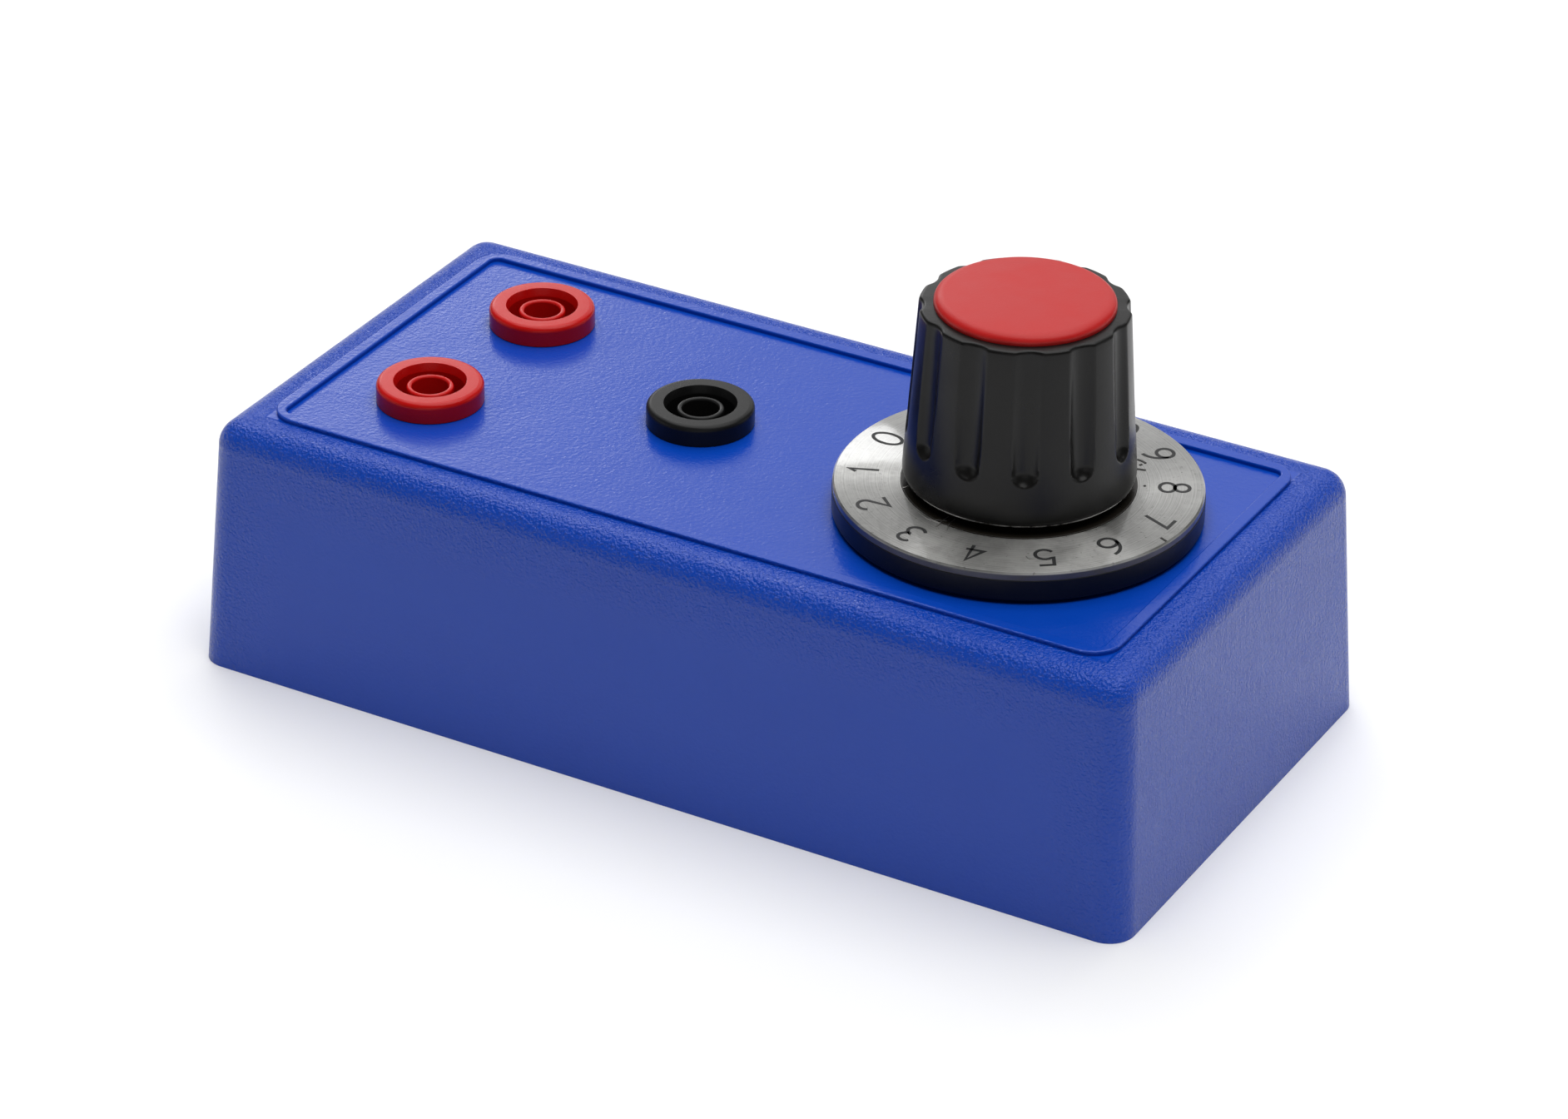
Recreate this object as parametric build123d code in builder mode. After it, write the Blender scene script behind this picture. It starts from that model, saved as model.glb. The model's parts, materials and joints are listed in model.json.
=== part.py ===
from build123d import *
import os
from math import atan, cos, degrees, radians, sin, tan

# Bench rheostat: a wirewound rheostat in a moulded case, with three 4 mm safety sockets and a
# fluted control knob that carries a numbered dial. Millimetres, +Z up, +X towards the knob's end,
# with the origin at the centre of the case's underside.

# Case
case_length = 135.0
case_width = 68.8
case_height = 34.7
case_draft = 3.2  # degrees that each wall leans inwards
case_corner_radius = 3.6
case_top_radius = 3.5
case_wall = 2.5
rim_width = 1.3
frame_line_inset = 5.1
frame_line_width = 1.7
frame_line_height = 0.6
frame_line_radius = 4.0
frame_line_inner_radius = 1.2
frame_line_rounding = 0.25
post_radius = 3.5
post_inset = 6.5
pilot_depth = 12.0

# Base plate and its screws
plate_thickness = 2.4
plate_gap = 0.2
screw_core_radius = 1.2
screw_pilot_gap = 0.05
screw_clear_gap = 0.4
screw_length = 10.0
screw_head_radius = 2.8
screw_head_gap = 0.05
screw_slot_width = 0.7
screw_slot_length = 3.2
screw_slot_depth = 0.8

# Sockets for 4 mm shrouded plugs
red_back_from_end = 23.9
red_back_y = 13.2
red_front_from_end = 22.7
red_front_y = -12.4
black_from_end = 55.7
black_y = 0.2
flange_radius = 7.0
flange_height = 2.8
flange_rounding = 0.75
barrel_radius = 6.0
barrel_length = 21.0
barrel_gap = 0.1
shroud_radius = 4.45
shroud_mouth_radius = 4.75
shroud_mouth_depth = 1.1
shroud_depth = 19.0
post_outer_radius = 3.0
post_hole_radius = 2.35
post_drop = 0.7
post_lip = 4.0
post_rounding = 0.2
contact_bore_radius = 2.0
contact_wall = 0.5
contact_gap = 0.02
contact_floor = 1.5
tail_width = 3.4
tail_thickness = 0.8
tail_length = 6.0
tail_eye_drop = 3.7
socket_nut_flats = 15.0
socket_nut_height = 3.2
socket_nut_gap = 0.05

# Knob, on the axis of the rheostat
knob_from_end = 33.3
knob_y = 0.0
dial_radius = 23.25
dial_hole_radius = 11.0
dial_thickness = 1.05
dial_bevel_width = 0.25
dial_bevel_drop = 0.25
dial_panel_gap = 0.5
skirt_step = 0.08
skirt_height = 2.85
skirt_wall = 1.6
skirt_disc = 1.3
skirt_rounding = 0.3
grip_height = 24.75
grip_base_radius = 14.8
grip_top_radius = 13.15
grip_base_rounding = 1.4
grip_top_rounding = 0.45
grip_spigot_gap = 0.1
grip_spigot_wall = 1.4
nut_room_height = 5.5
flute_count = 12
flute_phase = -0.5  # degrees from +X to the first flute
flute_end_radius = 1.9
flute_spread = 4.6  # degrees that a flute's cutter widens towards the top
flute_top_depth = 0.55
flute_end_depth = 1.05
flute_end_height = 8.6
flute_edge_rounding = 0.3
cap_radius = 11.3
cap_height = 1.25
cap_dome = 0.3
cap_rounding = 0.95
cap_plug_radius = 9.6
cap_plug_wall = 1.3
cap_plug_depth = 2.8
cap_plug_gap = 0.1
cap_well_depth = 6.0

# Collet that grips the shaft
collet_radius = 4.0
collet_foot_radius = 5.2
collet_cone_height = 4.2
collet_gap = 0.02
collet_slot_width = 0.8
collet_slot_height = 7.0
collet_nut_flats = 11.0
collet_nut_height = 3.0
collet_thread_out = 0.3

# Shaft, bush and its fastening on the panel
shaft_radius = 3.0
shaft_fit = 0.03
shaft_in_collet = 14.5
bush_radius = 4.75
bush_above_panel = 5.0
bush_collar_radius = 6.2
bush_collar_height = 1.5
bush_gap = 0.02
bush_panel_gap = 0.15
washer_radius = 7.6
washer_thickness = 0.7
washer_teeth = 10
washer_tooth_depth = 1.3
washer_tooth_width = 1.2
nut_flats = 14.0
nut_height = 2.6
nut_chamfer = 0.3
lock_pin_radius = 1.25
lock_pin_height = 1.5
lock_pin_offset = 11.5
lock_pin_gap = 0.1

# Wirewound rheostat
base_margin = 0.6
base_thickness = 5.0
base_rounding = 0.6
boss_radius = 8.5
boss_height = 8.45
winding_inner_radius = 13.4
winding_outer_radius = 19.4
winding_height = 7.3
winding_wrap = 0.6
winding_gap = 0.05
winding_arc = 284.0  # degrees
core_arc = 314.0  # degrees
terminal_thickness = 0.8
end_terminal_width = 3.0
end_terminal_angle = 150.0  # degrees from +X
terminal_overhang = 6.6
terminal_eye_inset = 1.6
collector_inner_radius = 6.4
collector_outer_radius = 8.1
collector_tail_width = 4.0
stop_radius = 1.5
stop_offset = 9.8
stop_overlap = 1.0

# Wiper
dial_steps = 10
dial_step = 26.2  # degrees between two figures of the dial
wiper_arm_width = 4.0
wiper_arm_thickness = 0.7
wiper_ring_radius = 7.8
wiper_slide_gap = 0.05
wiper_stop_clearance = 2.0  # degrees
brush_length = 3.0
brush_width = 3.5
hub_radius = 4.5
hub_spigot_height = 1.2
hub_flange_radius = 6.3
hub_flange_height = 1.3
hub_gap = 0.05
ring_thickness = 0.7
ring_outer_radius = 4.8
ring_groove_depth = 0.5
ring_gap = 0.05
ring_opening = 3.6
shaft_tail = 1.0

# Hook-up wires
wire_radius = 0.7
wire_eye_gap = 0.2
wire_rise_level = 9.0
wire_bend_share = 0.45  # of the shorter run beside a bend
wire_bends = {  # share of the straight way, distance beside it and height of each bend
    "red_back": [(0.21, 2.5, 8.8), (0.53, 5.3, 7.6), (0.80, 3.4, 8.0)],
    "red_front": [(0.21, -2.6, 8.6), (0.51, -6.2, 7.4), (0.80, -4.0, 8.2)],
    "black": [(0.46, -1.3, 8.2)],
}

# Heights and places that follow from the sizes above
socket_places = {
    "red_back": (red_back_from_end - case_length / 2, red_back_y),
    "red_front": (red_front_from_end - case_length / 2, red_front_y),
    "black": (black_from_end - case_length / 2, black_y),
}
knob_x = case_length / 2 - knob_from_end
panel_top = case_height
panel_under = case_height - case_wall
draft_inset = case_height * tan(radians(case_draft))
post_pitch_x = case_length - 2 * post_inset
post_pitch_y = case_width - 2 * post_inset
dial_bottom = panel_top + dial_panel_gap
skirt_top = dial_bottom + skirt_height
dial_top = skirt_top + dial_thickness
grip_top = dial_top + grip_height
well_floor = grip_top - cap_well_depth
base_rear = panel_under - base_thickness
boss_rear = base_rear - boss_height
collector_rear = boss_rear - terminal_thickness
winding_rear = base_rear - winding_height
core_rear = winding_rear + winding_wrap
arm_front = collector_rear - wiper_slide_gap
arm_rear = arm_front - wiper_arm_thickness
hub_rear = arm_rear - hub_flange_height
ring_rear = hub_rear - ring_thickness
knob_travel = dial_steps * dial_step
wiper_angle = knob_travel / 2
base_radius = winding_outer_radius + base_margin
terminal_reach = winding_outer_radius + terminal_overhang
eye_radius = wire_radius + wire_eye_gap
eye_offset = terminal_reach - terminal_eye_inset
barrel_bottom = panel_top - barrel_length

knob_axis = Axis((knob_x, knob_y, 0), (0, 0, 1))
knob_profile = Plane(origin=(knob_x, knob_y, 0), x_dir=(1, 0, 0), z_dir=(0, -1, 0))

os.makedirs("parts", exist_ok=True)


def knob_level(height, turn=0.0):
    """Horizontal plane on the knob's axis, turned by some degrees."""
    along = (cos(radians(turn)), sin(radians(turn)), 0)
    return Plane(origin=(knob_x, knob_y, height), x_dir=along, z_dir=(0, 0, 1))


def corner_radii(points):
    """Bend radii of a wire's route: as large as the two runs at each corner allow."""
    corners = [Vector(point) for point in points]
    radii = []
    for before, corner, after in zip(corners, corners[1:], corners[2:]):
        run_in, run_out = corner - before, after - corner
        half_turn = radians(run_in.get_angle(run_out)) / 2
        radii.append(wire_bend_share * min(run_in.length, run_out.length) / tan(half_turn))
    return radii


# Case: a drafted moulding, shelled from below, with a raised frame line round its panel
with BuildPart() as case_shell:
    with BuildSketch(Plane.XY):
        Rectangle(case_length, case_width)
    extrude(amount=case_height, taper=case_draft)
    fillet(case_shell.edges().group_by(Axis.Z)[1], radius=case_corner_radius)
    fillet(case_shell.faces().sort_by(Axis.Z)[-1].edges(), radius=case_top_radius)
    offset(amount=-case_wall, openings=case_shell.faces().sort_by(Axis.Z)[0])

    # Rim that takes the base plate, and the posts for its screws
    with BuildSketch(Plane.XY):
        RectangleRounded(
            case_length - 2 * rim_width, case_width - 2 * rim_width, case_corner_radius - rim_width
        )
    extrude(amount=plate_thickness, mode=Mode.SUBTRACT)
    with BuildSketch(Plane.XY.offset(plate_thickness)):
        with GridLocations(post_pitch_x, post_pitch_y, 2, 2):
            Circle(post_radius)
    extrude(amount=panel_under - plate_thickness)
    with BuildSketch(Plane.XY.offset(plate_thickness)):
        with GridLocations(post_pitch_x, post_pitch_y, 2, 2):
            Circle(screw_core_radius + screw_pilot_gap)
    extrude(amount=pilot_depth, mode=Mode.SUBTRACT)

    # Raised frame line
    frame_length = case_length - 2 * (draft_inset + frame_line_inset)
    frame_width = case_width - 2 * (draft_inset + frame_line_inset)
    with BuildSketch(Plane.XY.offset(panel_top)):
        RectangleRounded(frame_length, frame_width, frame_line_radius)
        RectangleRounded(
            frame_length - 2 * frame_line_width,
            frame_width - 2 * frame_line_width,
            frame_line_inner_radius,
            mode=Mode.SUBTRACT,
        )
    extrude(amount=frame_line_height)
    fillet(case_shell.faces().sort_by(Axis.Z)[-1].edges(), radius=frame_line_rounding)

    # Holes for the sockets and the bush, and the blind hole for the locating pin
    with BuildSketch(Plane.XY.offset(panel_top)):
        with Locations(*socket_places.values()):
            Circle(barrel_radius + barrel_gap)
        with Locations((knob_x, knob_y)):
            Circle(bush_radius + bush_panel_gap)
    extrude(amount=-case_wall, mode=Mode.SUBTRACT)
    with BuildSketch(Plane.XY.offset(panel_under)):
        with Locations((knob_x - lock_pin_offset, knob_y)):
            Circle(lock_pin_radius + lock_pin_gap)
    extrude(amount=lock_pin_height + lock_pin_gap, mode=Mode.SUBTRACT)

case_shell.part.label = "case_shell"
export_step(case_shell.part, "parts/case_shell.step")

# Base plate, flush with the rim that the case stands on
with BuildPart() as base_plate:
    with BuildSketch(Plane.XY):
        RectangleRounded(
            case_length - 2 * (rim_width + plate_gap),
            case_width - 2 * (rim_width + plate_gap),
            case_corner_radius - rim_width - plate_gap,
        )
    extrude(amount=plate_thickness)
    with Locations(Plane.XY.rotated((180, 0, 0))):
        with GridLocations(post_pitch_x, post_pitch_y, 2, 2):
            CounterSinkHole(
                radius=screw_core_radius + screw_clear_gap,
                counter_sink_radius=screw_head_radius + screw_head_gap,
                counter_sink_angle=90,
            )

base_plate.part.label = "base_plate"
export_step(base_plate.part, "parts/base_plate.step")

# One countersunk screw with a cross recess, repeated at the four posts
with BuildPart() as screw:
    with BuildSketch(Plane.XZ):
        with BuildLine():
            Polyline(
                (0, screw_head_gap),
                (screw_head_radius - screw_head_gap, screw_head_gap),
                (screw_core_radius, screw_head_radius - screw_core_radius),
                (screw_core_radius, screw_length - screw_core_radius),
                (0, screw_length),
                close=True,
            )
        make_face()
    revolve(axis=Axis.Z)
    with BuildSketch(Plane.XY):
        Rectangle(screw_slot_length, screw_slot_width)
        Rectangle(screw_slot_width, screw_slot_length)
    extrude(amount=screw_slot_depth, mode=Mode.SUBTRACT)

with BuildPart() as base_screws:
    with GridLocations(post_pitch_x, post_pitch_y, 2, 2):
        add(screw.part)

base_screws.part.label = "base_screws"
export_step(base_screws.part, "parts/base_screws.step")

# Sockets: body with its flange, shroud groove and centre post, brass contact and nut
post_top = panel_top + flange_height - post_drop
post_lip_under = post_top - post_lip
shroud_floor = panel_top + flange_height - shroud_depth
sleeve_radius = contact_bore_radius + contact_wall
for colour, (socket_x, socket_y) in socket_places.items():
    socket_axis = Axis((socket_x, socket_y, 0), (0, 0, 1))
    socket_profile = Plane(origin=(socket_x, socket_y, 0), x_dir=(1, 0, 0), z_dir=(0, -1, 0))

    with BuildPart() as socket_body:
        with BuildSketch(socket_profile):
            with BuildLine():
                Polyline(
                    (sleeve_radius + contact_gap, barrel_bottom),
                    (sleeve_radius + contact_gap, post_lip_under),
                    (post_hole_radius, post_lip_under),
                    (post_hole_radius, post_top),
                    (post_outer_radius, post_top),
                    (post_outer_radius, shroud_floor),
                    (shroud_radius, shroud_floor),
                    (shroud_radius, panel_top + flange_height - shroud_mouth_depth),
                    (shroud_mouth_radius, panel_top + flange_height),
                    (flange_radius, panel_top + flange_height),
                    (flange_radius, panel_top),
                    (barrel_radius, panel_top),
                    (barrel_radius, barrel_bottom),
                    close=True,
                )
            make_face()
        revolve(axis=socket_axis)
        rims = socket_body.edges().filter_by(GeomType.CIRCLE)
        flange_rim = rims.group_by(Axis.Z)[-1].sort_by(SortBy.RADIUS)[-1]
        fillet(flange_rim, radius=flange_rounding)
        rims = socket_body.edges().filter_by(GeomType.CIRCLE)
        post_rims = [rim for rim in rims if abs(rim.arc_center.Z - post_top) < contact_gap]
        fillet(post_rims, radius=post_rounding)

    socket_body.part.label = f"socket_body_{colour}"
    export_step(socket_body.part, f"parts/socket_body_{colour}.step")

    with BuildPart() as socket_contact:
        with BuildSketch(socket_profile):
            with BuildLine():
                Polyline(
                    (0, barrel_bottom),
                    (sleeve_radius, barrel_bottom),
                    (sleeve_radius, post_lip_under),
                    (contact_bore_radius, post_lip_under),
                    (contact_bore_radius, barrel_bottom + contact_floor),
                    (0, barrel_bottom + contact_floor),
                    close=True,
                )
            make_face()
        revolve(axis=socket_axis)
        with BuildSketch(Plane.XY.offset(barrel_bottom)):
            with Locations((socket_x, socket_y)):
                Rectangle(tail_thickness, tail_width)
        extrude(amount=-tail_length)
        with BuildSketch(Plane.YZ.offset(socket_x - tail_thickness)):
            with Locations((socket_y, barrel_bottom - tail_eye_drop)):
                Circle(eye_radius)
        extrude(amount=2 * tail_thickness, mode=Mode.SUBTRACT)

    socket_contact.part.label = f"socket_contact_{colour}"
    export_step(socket_contact.part, f"parts/socket_contact_{colour}.step")

    with BuildPart() as socket_nut:
        with BuildSketch(Plane.XY.offset(panel_under)):
            with Locations((socket_x, socket_y)):
                RegularPolygon(socket_nut_flats / 2, 6, major_radius=False)
                Circle(barrel_radius + socket_nut_gap, mode=Mode.SUBTRACT)
        extrude(amount=-socket_nut_height)

    socket_nut.part.label = f"socket_nut_{colour}"
    export_step(socket_nut.part, f"parts/socket_nut_{colour}.step")

# Dial: a black moulding that hangs over the nut, and the metal scale on top of it
skirt_radius = dial_radius + skirt_step
spigot_radius = dial_hole_radius - grip_spigot_gap
with BuildPart() as dial_skirt:
    with BuildSketch(knob_profile):
        with BuildLine():
            Polyline(
                (dial_hole_radius, skirt_top),
                (skirt_radius, skirt_top),
                (skirt_radius, dial_bottom),
                (skirt_radius - skirt_wall, dial_bottom),
                (skirt_radius - skirt_wall, skirt_top - skirt_disc),
                (dial_hole_radius, skirt_top - skirt_disc),
                close=True,
            )
        make_face()
    revolve(axis=knob_axis)
    lower_rims = dial_skirt.edges().group_by(Axis.Z)[0]
    fillet(lower_rims, radius=skirt_rounding)

dial_skirt.part.label = "dial_skirt"
export_step(dial_skirt.part, "parts/dial_skirt.step")

with BuildPart() as dial_ring:
    with BuildSketch(knob_profile):
        with BuildLine():
            Polyline(
                (dial_hole_radius, skirt_top),
                (dial_radius, skirt_top),
                (dial_radius, dial_top - dial_bevel_drop),
                (dial_radius - dial_bevel_width, dial_top),
                (dial_hole_radius, dial_top),
                close=True,
            )
        make_face()
    revolve(axis=knob_axis)

dial_ring.part.label = "dial_ring"
export_step(dial_ring.part, "parts/dial_ring.step")

# Cutter of one flute: a slim cone that widens upwards, with a ball end that runs out on the wall.
# It leans outwards, so that the flute is shallow at the top of the grip and deep at its foot.
grip_side_slope = (grip_base_radius - grip_top_radius) / grip_height
flute_end_wall = grip_base_radius - grip_side_slope * flute_end_height
flute_end_offset = flute_end_wall - flute_end_depth + flute_end_radius
flute_length = grip_height - flute_end_height
flute_top_radius = flute_end_radius + flute_length * tan(radians(flute_spread))
flute_top_offset = grip_top_radius - flute_top_depth + flute_top_radius
flute_lean = degrees(atan((flute_top_offset - flute_end_offset) / flute_length))
flute_overrun = 2 * flute_end_radius
ball_rise = flute_end_radius * sin(radians(flute_spread))
cone_height = flute_length + flute_overrun + ball_rise
cone_foot_radius = flute_end_radius * cos(radians(flute_spread))
with BuildPart() as flute:
    with Locations(Location((flute_end_offset, 0, 0), (0, flute_lean, 0))):
        Sphere(flute_end_radius)
        with Locations((0, 0, -ball_rise)):
            Cone(
                cone_foot_radius,
                cone_foot_radius + cone_height * tan(radians(flute_spread)),
                cone_height,
                align=(Align.CENTER, Align.CENTER, Align.MIN),
            )

# Grip: a tapered moulding with a round foot, flutes, a well for the cap and room for the nut
nut_room_radius = spigot_radius - grip_spigot_wall
nut_room_top = dial_top + nut_room_height
cone_seat_top = nut_room_top + collet_cone_height
with BuildPart() as knob_grip:
    with BuildSketch(knob_profile):
        with BuildLine():
            Polyline(
                (collet_foot_radius + collet_gap, nut_room_top),
                (nut_room_radius, nut_room_top),
                (nut_room_radius, skirt_top - skirt_disc),
                (spigot_radius, skirt_top - skirt_disc),
                (spigot_radius, dial_top),
                (grip_base_radius, dial_top),
                (grip_top_radius, grip_top),
                (cap_plug_radius + cap_plug_gap, grip_top),
                (cap_plug_radius + cap_plug_gap, well_floor),
                (collet_radius + collet_gap, well_floor),
                (collet_radius + collet_gap, cone_seat_top),
                close=True,
            )
        make_face()
    revolve(axis=knob_axis)
    foot_rim = knob_grip.edges().filter_by(GeomType.CIRCLE).sort_by(SortBy.RADIUS)[-1]
    fillet(foot_rim, radius=grip_base_rounding)
    top_face = knob_grip.faces().filter_by(GeomType.PLANE).sort_by(Axis.Z)[-1]
    fillet(top_face.outer_wire().edges(), radius=grip_top_rounding)
    with Locations(knob_level(dial_top + flute_end_height)):
        with PolarLocations(0, flute_count, start_angle=flute_phase):
            add(flute.part, mode=Mode.SUBTRACT)
    flute_edges = knob_grip.edges(Select.LAST).filter_by(
        lambda edge: edge.center().Z < grip_top - 2 * grip_top_rounding
    )
    fillet(flute_edges, radius=flute_edge_rounding)

knob_grip.part.label = "knob_grip"
export_step(knob_grip.part, "parts/knob_grip.step")

# Red cap: a domed button with a hollow plug that presses into the well
with BuildPart() as knob_cap:
    with BuildSketch(knob_profile):
        with BuildLine():
            Polyline(
                (0, grip_top + cap_height + cap_dome),
                (0, grip_top),
                (cap_plug_radius - cap_plug_wall, grip_top),
                (cap_plug_radius - cap_plug_wall, grip_top - cap_plug_depth),
                (cap_plug_radius, grip_top - cap_plug_depth),
                (cap_plug_radius, grip_top),
                (cap_radius, grip_top),
                (cap_radius, grip_top + cap_height),
            )
            dome_radius = (cap_radius**2 + cap_dome**2) / (2 * cap_dome)
            RadiusArc(
                (cap_radius, grip_top + cap_height),
                (0, grip_top + cap_height + cap_dome),
                -dome_radius,
            )
        make_face()
    revolve(axis=knob_axis)
    fillet(knob_cap.edges().group_by(SortBy.LENGTH)[-1].sort_by(Axis.Z)[-1], radius=cap_rounding)

knob_cap.part.label = "knob_cap"
export_step(knob_cap.part, "parts/knob_cap.step")

# Collet: a brass sleeve with a slotted cone at its foot, drawn up into the grip by its nut
collet_top = well_floor + collet_nut_height + collet_thread_out
with BuildPart() as knob_collet:
    with BuildSketch(knob_profile):
        with BuildLine():
            Polyline(
                (shaft_radius + collet_gap, nut_room_top),
                (collet_foot_radius, nut_room_top),
                (collet_radius, cone_seat_top),
                (collet_radius, collet_top),
                (shaft_radius + collet_gap, collet_top),
                close=True,
            )
        make_face()
    revolve(axis=knob_axis)
    with BuildSketch(knob_level(nut_room_top)):
        Rectangle(2 * collet_foot_radius, collet_slot_width)
        Rectangle(collet_slot_width, 2 * collet_foot_radius)
    extrude(amount=collet_slot_height, mode=Mode.SUBTRACT)

knob_collet.part.label = "knob_collet"
export_step(knob_collet.part, "parts/knob_collet.step")

with BuildPart() as collet_nut:
    with BuildSketch(knob_level(well_floor)):
        RegularPolygon(collet_nut_flats / 2, 6, major_radius=False)
        Circle(collet_radius + collet_gap, mode=Mode.SUBTRACT)
    extrude(amount=collet_nut_height)

collet_nut.part.label = "collet_nut"
export_step(collet_nut.part, "parts/collet_nut.step")

# Threaded bush: it clamps the rheostat under the panel and carries the shaft
bush_top = panel_top + bush_above_panel
bush_bottom = boss_rear + wiper_slide_gap
bush_bore_radius = shaft_radius + shaft_fit
with BuildPart() as threaded_bush:
    with BuildSketch(knob_profile):
        with BuildLine():
            Polyline(
                (bush_bore_radius, bush_bottom),
                (bush_collar_radius, bush_bottom),
                (bush_collar_radius, bush_bottom + bush_collar_height),
                (bush_radius, bush_bottom + bush_collar_height),
                (bush_radius, bush_top),
                (bush_bore_radius, bush_top),
                close=True,
            )
        make_face()
    revolve(axis=knob_axis)
    chamfer(threaded_bush.edges().group_by(Axis.Z)[-1].sort_by(SortBy.RADIUS)[-1], nut_chamfer)

threaded_bush.part.label = "threaded_bush"
export_step(threaded_bush.part, "parts/threaded_bush.step")

# Lock washer with teeth round its inside, and the hexagon nut above it
with BuildPart() as lock_washer:
    with BuildSketch(knob_level(panel_top)):
        Circle(washer_radius)
        tooth_foot = bush_radius + bush_panel_gap + washer_tooth_depth
        Circle(tooth_foot, mode=Mode.SUBTRACT)
        with PolarLocations(tooth_foot, washer_teeth):
            Rectangle(2 * washer_tooth_depth, washer_tooth_width)
    extrude(amount=washer_thickness)

lock_washer.part.label = "lock_washer"
export_step(lock_washer.part, "parts/lock_washer.step")

with BuildPart() as mounting_nut:
    with BuildSketch(knob_level(panel_top + washer_thickness)):
        RegularPolygon(nut_flats / 2, 6, major_radius=False)
        Circle(bush_radius + bush_gap, mode=Mode.SUBTRACT)
    extrude(amount=nut_height)

mounting_nut.part.label = "mounting_nut"
export_step(mounting_nut.part, "parts/mounting_nut.step")

# Ceramic base of the rheostat: disc, boss for the bush, locating pin and the two stops
arm_half_angle = degrees(atan(wiper_arm_width / 2 / stop_offset))
stop_half_angle = degrees(atan(stop_radius / stop_offset))
stop_angle = wiper_angle + arm_half_angle + stop_half_angle + wiper_stop_clearance
with BuildPart() as rheostat_base:
    with BuildSketch(knob_profile):
        with BuildLine():
            Polyline(
                (bush_radius + bush_gap, panel_under),
                (base_radius, panel_under),
                (base_radius, base_rear),
                (boss_radius, base_rear),
                (boss_radius, boss_rear),
                (bush_collar_radius + bush_gap, boss_rear),
                (bush_collar_radius + bush_gap, bush_bottom + bush_collar_height),
                (bush_radius + bush_gap, bush_bottom + bush_collar_height),
                close=True,
            )
        make_face()
    revolve(axis=knob_axis)
    fillet(rheostat_base.edges().group_by(SortBy.LENGTH)[-1], radius=base_rounding)
    with BuildSketch(knob_level(base_rear)):
        with Locations(*[
            Location((stop_offset * cos(radians(turn)), stop_offset * sin(radians(turn))))
            for turn in (-stop_angle, stop_angle)
        ]):
            Circle(stop_radius)
    extrude(amount=-(base_rear - arm_rear + stop_overlap))
    with BuildSketch(knob_level(panel_under)):
        with Locations((-lock_pin_offset, 0)):
            Circle(lock_pin_radius)
    extrude(amount=lock_pin_height)

rheostat_base.part.label = "rheostat_base"
export_step(rheostat_base.part, "parts/rheostat_base.step")


def gap_wedge(arc):
    """Outline of the sector, on the side of the sockets, that an arc of some degrees leaves open."""
    reach = 2 * base_radius
    half_height = reach * tan(radians((360 - arc) / 2))
    with BuildSketch(knob_level(base_rear)) as wedge:
        with BuildLine():
            Polyline((0, 0), (-reach, half_height), (-reach, -half_height), close=True)
        make_face()
    return wedge.sketch


# Ceramic core, an open ring, and the resistance wire wound round it
core_inner_radius = winding_inner_radius + winding_wrap
core_outer_radius = winding_outer_radius - winding_wrap
core_front = base_rear - winding_wrap
with BuildPart() as winding_core:
    with BuildSketch(knob_level(core_front)):
        Circle(core_outer_radius)
        Circle(core_inner_radius, mode=Mode.SUBTRACT)
    extrude(amount=-(core_front - core_rear))
    extrude(gap_wedge(core_arc), amount=-(base_rear - winding_rear), mode=Mode.SUBTRACT)

winding_core.part.label = "winding_core"
export_step(winding_core.part, "parts/winding_core.step")

with BuildPart() as resistance_winding:
    with BuildSketch(knob_profile):
        with BuildLine():
            Polyline(
                (winding_inner_radius, winding_rear),
                (winding_outer_radius, winding_rear),
                (winding_outer_radius, base_rear),
                (winding_inner_radius, base_rear),
                close=True,
            )
        make_face()
        with BuildLine():
            Polyline(
                (core_inner_radius - winding_gap, core_rear - winding_gap),
                (core_outer_radius + winding_gap, core_rear - winding_gap),
                (core_outer_radius + winding_gap, core_front + winding_gap),
                (core_inner_radius - winding_gap, core_front + winding_gap),
                close=True,
            )
        make_face(mode=Mode.SUBTRACT)
    revolve(axis=knob_axis)
    extrude(gap_wedge(winding_arc), amount=-(base_rear - winding_rear), mode=Mode.SUBTRACT)

resistance_winding.part.label = "resistance_winding"
export_step(resistance_winding.part, "parts/resistance_winding.step")

# End terminals on the bare ends of the core, each with an eye for its wire
for side, turn in (("back", end_terminal_angle), ("front", -end_terminal_angle)):
    with BuildPart() as end_terminal:
        with BuildSketch(knob_level(core_rear, turn)):
            with Locations(((winding_inner_radius + terminal_reach) / 2, 0)):
                Rectangle(terminal_reach - winding_inner_radius, end_terminal_width)
            with Locations((eye_offset, 0)):
                Circle(eye_radius, mode=Mode.SUBTRACT)
        extrude(amount=-terminal_thickness)

    end_terminal.part.label = f"end_terminal_{side}"
    export_step(end_terminal.part, f"parts/end_terminal_{side}.step")

# Collector ring on the boss, in one piece with the wiper's terminal
with BuildPart() as wiper_collector:
    with BuildSketch(knob_level(boss_rear)):
        Circle(collector_outer_radius)
        with Locations((-(collector_inner_radius + terminal_reach) / 2, 0)):
            Rectangle(terminal_reach - collector_inner_radius, collector_tail_width)
        Circle(collector_inner_radius, mode=Mode.SUBTRACT)
        with Locations((-eye_offset, 0)):
            Circle(eye_radius, mode=Mode.SUBTRACT)
    extrude(amount=-terminal_thickness)

wiper_collector.part.label = "wiper_collector"
export_step(wiper_collector.part, "parts/wiper_collector.step")

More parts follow.
